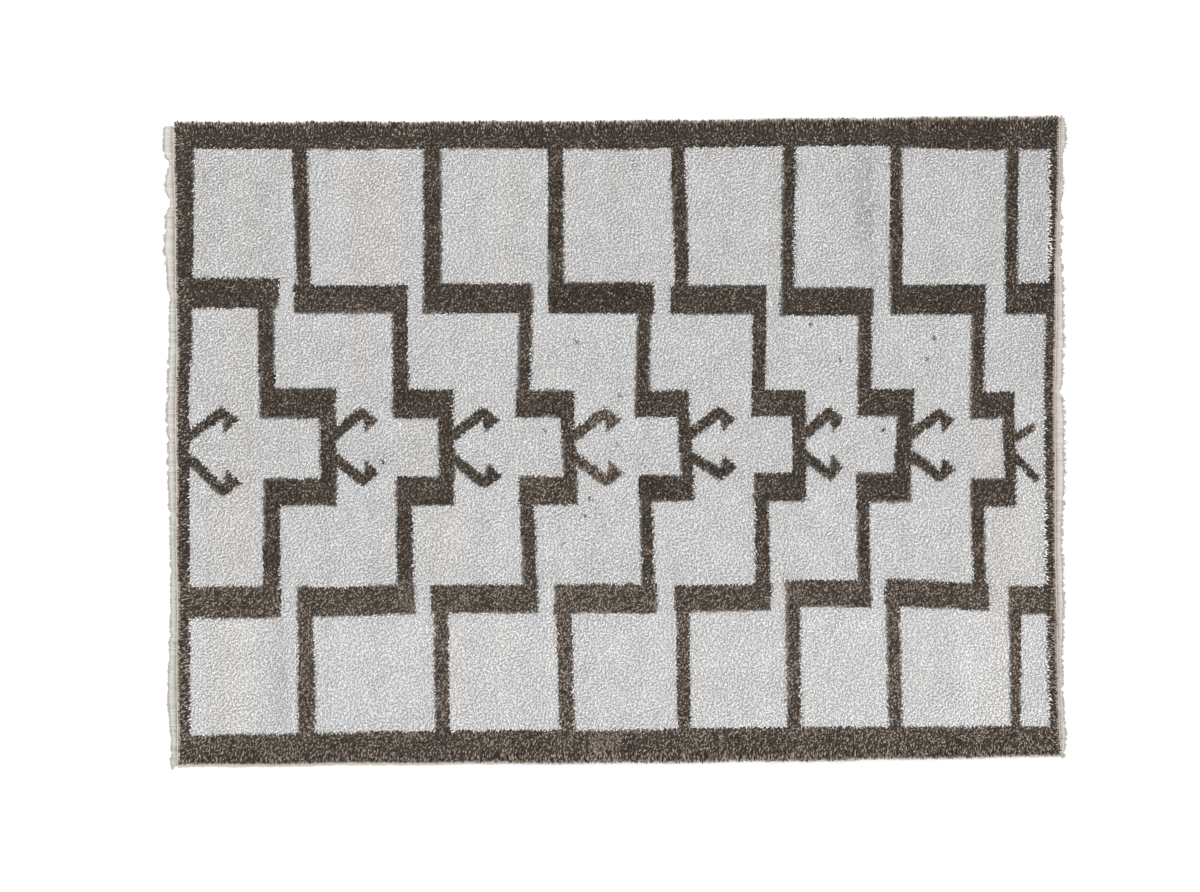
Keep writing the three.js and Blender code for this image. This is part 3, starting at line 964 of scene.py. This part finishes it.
def twined_row(side, material):
    """Two thin rows of twining across the warps, one against the last row of knots and one beyond it."""
    out = 1 if side == "right" else -1
    box_low, box_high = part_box(f"twined_row_{side}")
    twists = round((box_high.y - box_low.y) / TWIST_PITCH)
    parts = []
    for number, apart in enumerate(TWINING_APART):
        def place(along, round_share, apart=apart):
            y = box_low.y + (box_high.y - box_low.y) * along
            angle = round_share * math.tau
            twist = along * twists + TWIST_SLANT * np.sin(angle)
            full = TWIST_WAIST + (1 - TWIST_WAIST) * np.abs(np.sin(math.pi * twist))
            middle = edge_at(side, y) + out * (PARTING + apart + TWINING_WAVES * drift(y, y * 0, 0.05, 71))
            x = middle + TWINING_HALF_WIDTH * full * np.cos(angle)
            z = np.maximum(0, TWINING_LEVEL + TWINING_HALF_HEIGHT * full * np.sin(angle))
            return np.column_stack([x, y, z])
        name = f"twining_{side}_{number}"
        parts.append(tube(name, stations=twists * 3, sides=5, place=place, material=material))
    return join(parts, f"twined_rows_{side}")


# Fringe

# Height along Y at which each fringe ends, and how much farther than the solid one its longest ends reach
FRINGE_TOP = {"left": 711 * MM, "right": 731 * MM}
SPLAY = 3.5 * MM

# Where the fringe is worn back, along Y in centimetres: half the width of the dip, and the share worn away
Notch = namedtuple("Notch", "y half_width depth")
NOTCHES = {
    "left": [
        Notch(63.2, 1.0, 0.40), Notch(54.0, 2.2, 0.50), Notch(47.5, 0.6, 0.20), Notch(41.4, 0.6, 0.15),
        Notch(32.2, 0.5, 0.30), Notch(17.3, 0.4, 0.20), Notch(10.4, 0.6, 0.18), Notch(0.9, 0.6, 0.16),
        Notch(-5.6, 0.4, 0.25), Notch(-15.8, 0.8, 0.30), Notch(-28.6, 0.4, 0.20), Notch(-43.2, 0.6, 0.22),
    ],
    "right": [
        Notch(53.6, 2.5, 0.45), Notch(49.5, 0.6, 0.55), Notch(44.6, 0.6, 0.75), Notch(37.8, 0.6, 0.25),
        Notch(20.9, 0.5, 0.25), Notch(11.7, 0.9, 0.35), Notch(-16.7, 0.5, 0.20), Notch(-24.5, 0.5, 0.15),
        Notch(-48.4, 0.4, 0.45), Notch(-55.4, 0.4, 0.60), Notch(-62.3, 0.5, 0.20),
    ],
}

# Warp ends: how many, widths in mm, share by which a clump and a single end fall short, sway in mm, clump
# in mm, how much shorter a clump's outer ends are than its longest, and the share of the fringe that is mat
Warp = namedtuple("Warp", "count width clump_short end_short sway clump peak mat")
WARPS = {
    "left": Warp(1300, (1.7, 2.8), 0.07, 0.10, 1.0, 16, 0.10, 0.92),
    "right": Warp(1300, (1.6, 2.6), 0.12, 0.22, 2.2, 11, 0.22, 0.84),
}
# How far warp ends stand out of line, how far the first and the last are from the corners, how far each
# starts under the twining, how long the shortest is, and how high they start above the floor
OUT_OF_LINE = 0.5 * MM
FROM_CORNER = 1.5 * MM
UNDER_TWINING = 1.0 * MM
SHORTEST_END = 2.5 * MM
WARP_LIFT = (1.0 * MM, 1.7 * MM)

# Loose ends, in mm in the rug's frame: start, how far they run, and how many lie together. LOOSE_SPREAD is
# how far they lie apart
LOOSE_SPREAD = 0.8
Loose = namedtuple("Loose", "x y run_x run_y count")
LOOSE_ENDS = {
    "left": [
        Loose(-1000, -712, 3, -18, 14), Loose(-997, -712, 1, -24, 14),
        Loose(-993, -712, -1, -24, 14), Loose(-990, -712, -2, -19, 14),
    ],
    "right": [Loose(996, 722, 10, 13, 4), Loose(1001, -700, 7, -12, 2), Loose(993, 446, 14, -6, 2)],
}


def fringe_reach(side, y):
    """How far out the solid fringe reaches at places along Y, read from the frame."""
    points = np.array([vertex.co[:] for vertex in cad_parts[f"fringe_{side}"].data.vertices])
    window = 11 * MM
    steps = np.linspace(points[:, 1].min(), points[:, 1].max(), 90)
    outermost = np.abs(points[:, 0])
    reach = [outermost[np.abs(points[:, 1] - step) < window].max() for step in steps]
    return np.interp(y, steps, reach)


def worn_length(side, y):
    """The share of the fringe that is left at places along Y, dips taken off."""
    rounded_out = 1.3
    left = np.ones_like(y)
    for notch in NOTCHES[side]:
        gap = np.abs((y - CHART_MIDDLE[1]) / CM - notch.y) / notch.half_width
        left = np.minimum(left, 1 - notch.depth * np.clip(rounded_out - gap, 0, 1))
    return left


def warp_end_form():
    """One warp end lying along Z, one unit long and one across: three-sided, in two lengths."""
    bm = bmesh.new()
    bmesh.ops.create_cone(bm, cap_ends=True, segments=3, radius1=0.5, radius2=0.32, depth=1)
    whole = list(bm.verts) + list(bm.edges) + list(bm.faces)
    bmesh.ops.bisect_plane(bm, geom=whole, plane_co=(0, 0, 0), plane_no=(0, 0, 1))
    bmesh.ops.translate(bm, verts=bm.verts, vec=(0, 0, 0.5))
    return form_arrays(bm)


def worn_fringe(side, material):
    """A worn fringe: many warp ends, matted in clumps, from the twined row outwards."""
    warp = WARPS[side]
    out = 1 if side == "right" else -1
    form, faces = warp_end_form()
    low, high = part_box(f"fringe_{side}")
    count = warp.count
    number = np.arange(count)
    y = low.y + FROM_CORNER + (FRINGE_TOP[side] - low.y - 2 * FROM_CORNER) * (number + 0.5) / count
    y = y + RNG.normal(0, OUT_OF_LINE, count)
    clump_wander = 0.4 * drift(y, y * 0, 0.05, 61)
    place = number * (high.y - low.y) / count / (warp.clump * MM) + clump_wander + 1
    clump = place.astype(int)
    clump_draw = RNG.uniform(0, 1, clump.max() + 1)
    clump_sway = RNG.normal(0, 1, clump.max() + 1)
    from_peak = place - clump - 0.5 - 0.2 * np.clip(clump_sway[clump], -1, 1)
    start = np.abs(edge_at(side, y)) + PARTING + ROW_WIDTH - UNDER_TWINING

    # How long each end is: worn with its clump and on its own, and longest at its clump's peak
    share = worn_length(side, y) * (1 - warp.clump_short * clump_draw[clump])
    share = share * (1 - warp.end_short * RNG.uniform(-0.4, 1, count))
    share = share * (1 + warp.peak * (0.35 - 1.5 * np.abs(from_peak)))
    run_x = out * np.maximum((fringe_reach(side, y) + SPLAY - start) * share, SHORTEST_END)
    run_y = (0.5 * RNG.normal(0, 1, count) + clump_sway[clump]) * warp.sway * MM
    run_y = run_y - from_peak * warp.clump * warp.peak * 0.6 * MM
    start_x = out * start

    for loose in LOOSE_ENDS[side]:
        start_x = np.append(start_x, RNG.normal(loose.x, LOOSE_SPREAD, loose.count) * MM)
        y = np.append(y, RNG.normal(loose.y, LOOSE_SPREAD, loose.count) * MM)
        run_x = np.append(run_x, RNG.normal(loose.run_x, LOOSE_SPREAD, loose.count) * MM)
        run_y = np.append(run_y, RNG.normal(loose.run_y, LOOSE_SPREAD, loose.count) * MM)

    # The corners of each end, laid from its start along its run, bending a little and coming down to the
    # floor
    count = len(y)
    width = RNG.uniform(*warp.width, count) * MM
    along = form[:, 2]
    length = np.hypot(run_x, run_y)
    across_x, across_y = -run_y / length * width, run_x / length * width
    curl = along ** 1.5
    points = np.empty((count, len(form), 3))
    points[..., 0] = start_x[:, None] + run_x[:, None] * along + across_x[:, None] * form[:, 0]
    points[..., 1] = y[:, None] + run_y[:, None] * curl + across_y[:, None] * form[:, 0]
    lift = RNG.uniform(*WARP_LIFT, count)[:, None]
    points[..., 2] = width[:, None] * (form[:, 1] + 0.25) * 0.8 + lift * (1 - 0.6 * along)
    points[..., 2] = np.maximum(points[..., 2], 0)
    shade = np.clip(RNG.normal(0, 0.5, count), -1, 1)
    tone = {"shade": shade, "rise": np.broadcast_to(along, (count, len(form)))}
    return joined_copies(f"worn_fringe_{side}", points, faces, tone, material)


def web_strip(side, material):
    """The web end: the strip under the twining, worn into the mat that the warp ends lie in."""
    out = 1 if side == "right" else -1
    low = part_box(f"fringe_{side}")[0]
    from_end = 2 * MM

    def place(along, round_share):
        angle = round_share * math.tau
        y = low.y + from_end + (FRINGE_TOP[side] - low.y - 2 * from_end) * along
        start = np.abs(edge_at(side, y)) + PARTING
        width = WARPS[side].mat * worn_length(side, y) * (fringe_reach(side, y) - start - ROW_WIDTH)
        width = ROW_WIDTH + np.maximum(width + 0.8 * MM * drift(y, y * 0, 0.02, 65), 2 * MM)
        x = start + width * (0.5 - 0.5 * np.cos(angle))
        top = np.sign(np.sin(angle)) * np.abs(np.sin(angle)) ** 0.4
        z = np.maximum(0, 0.9 * MM + 1.0 * MM * top - 0.4 * MM * (1 - np.cos(angle)) / 2)
        return np.column_stack([out * x, y, z])

    return tube(f"web_strip_{side}", stations=480, sides=8, place=place, material=material)


# Stage

def photo_camera():
    """Straight down from high above, framed as the photo: 1200 x 892 pixels of 2.25 mm each. The chart's
    middle lies right of the picture's middle and above it."""
    pixel = 2.25 * MM
    width = 1200 * pixel
    to_the_right = 15 * pixel
    above = 3 * pixel
    height = 14.0
    data = bpy.data.cameras.new("camera")
    data.sensor_width = 36.0
    data.lens = data.sensor_width * height / width
    data.clip_end = 100
    camera = bpy.data.objects.new("camera", data)
    camera.location = (CHART_MIDDLE[0] - to_the_right, CHART_MIDDLE[1] - above, height)
    bpy.context.scene.collection.objects.link(camera)
    bpy.context.scene.camera = camera


def pale_floor():
    """A wide plain floor, just below the rug."""
    half_width = 12
    below = 0.3 * MM
    bm = bmesh.new()
    bmesh.ops.create_grid(bm, x_segments=1, y_segments=1, size=half_width)
    mesh = bpy.data.meshes.new("floor")
    bm.to_mesh(mesh)
    bm.free()
    material, _, shader = material_tree("floor")
    shader.inputs["Base Color"].default_value = (0.93, 0.93, 0.93, 1)
    shader.inputs["Roughness"].default_value = 0.9
    floor = new_object("floor", mesh, material)
    floor.location.z = -below


def area_light(name, place, energy, size):
    """A round soft light that is aimed at the middle of the rug."""
    data = bpy.data.lights.new(name, "AREA")
    data.shape = "DISK"
    data.size = size
    data.energy = energy
    light = bpy.data.objects.new(name, data)
    light.location = place
    aim = -light.location
    light.rotation_euler = aim.to_track_quat("-Z", "Y").to_euler()
    bpy.context.scene.collection.objects.link(light)


def studio():
    """An even white surround, a key light and a weaker fill."""
    world = bpy.data.worlds.new("studio")
    bpy.context.scene.world = world
    world.use_nodes = True
    background = world.node_tree.nodes["Background"]
    background.inputs["Color"].default_value = (1, 1, 1, 1)
    background.inputs["Strength"].default_value = 0.91
    area_light("key", (-2.2, 2.4, 4.9), energy=155, size=2.8)
    area_light("fill", (2.5, -2.4, 5.0), energy=94, size=3.5)
    bpy.context.scene.view_settings.view_transform = "Standard"


def build():
    """The whole rug, its pieces attached to their body, on its stage."""
    ground = ground_cloth(ground_weave())
    light = wool_material("light_wool", LIGHT_WOOL)
    dark = wool_material("dark_wool", DARK_WOOL)
    pile = [packed_pile(packed_material()), *pile_pieces(light, dark)]
    yarns = {name: yarn_material(name, yarn) for name, yarn in YARNS.items()}
    for piece in [ground, *pile]:
        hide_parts("pile")
    edging = []
    for side in ("top", "bottom"):
        piece = bound_side(side, yarns["binding_yarn"])
        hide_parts(f"selvedge_{side}")
        edging.append(piece)
    for side in ("left", "right"):
        row = twined_row(side, yarns[f"twining_yarn_{side}"])
        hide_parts(f"twined_row_{side}")
        edging.append(row)
        web = web_strip(side, yarns[f"web_yarn_{side}"])
        fringe = worn_fringe(side, yarns[f"warp_yarn_{side}"])
        for piece in (web, fringe):
            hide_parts(f"fringe_{side}")
            edging.append(piece)
    for piece in [ground, *pile, *edging]:
        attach(piece, "root")
    pale_floor()
    studio()
    photo_camera()


build()
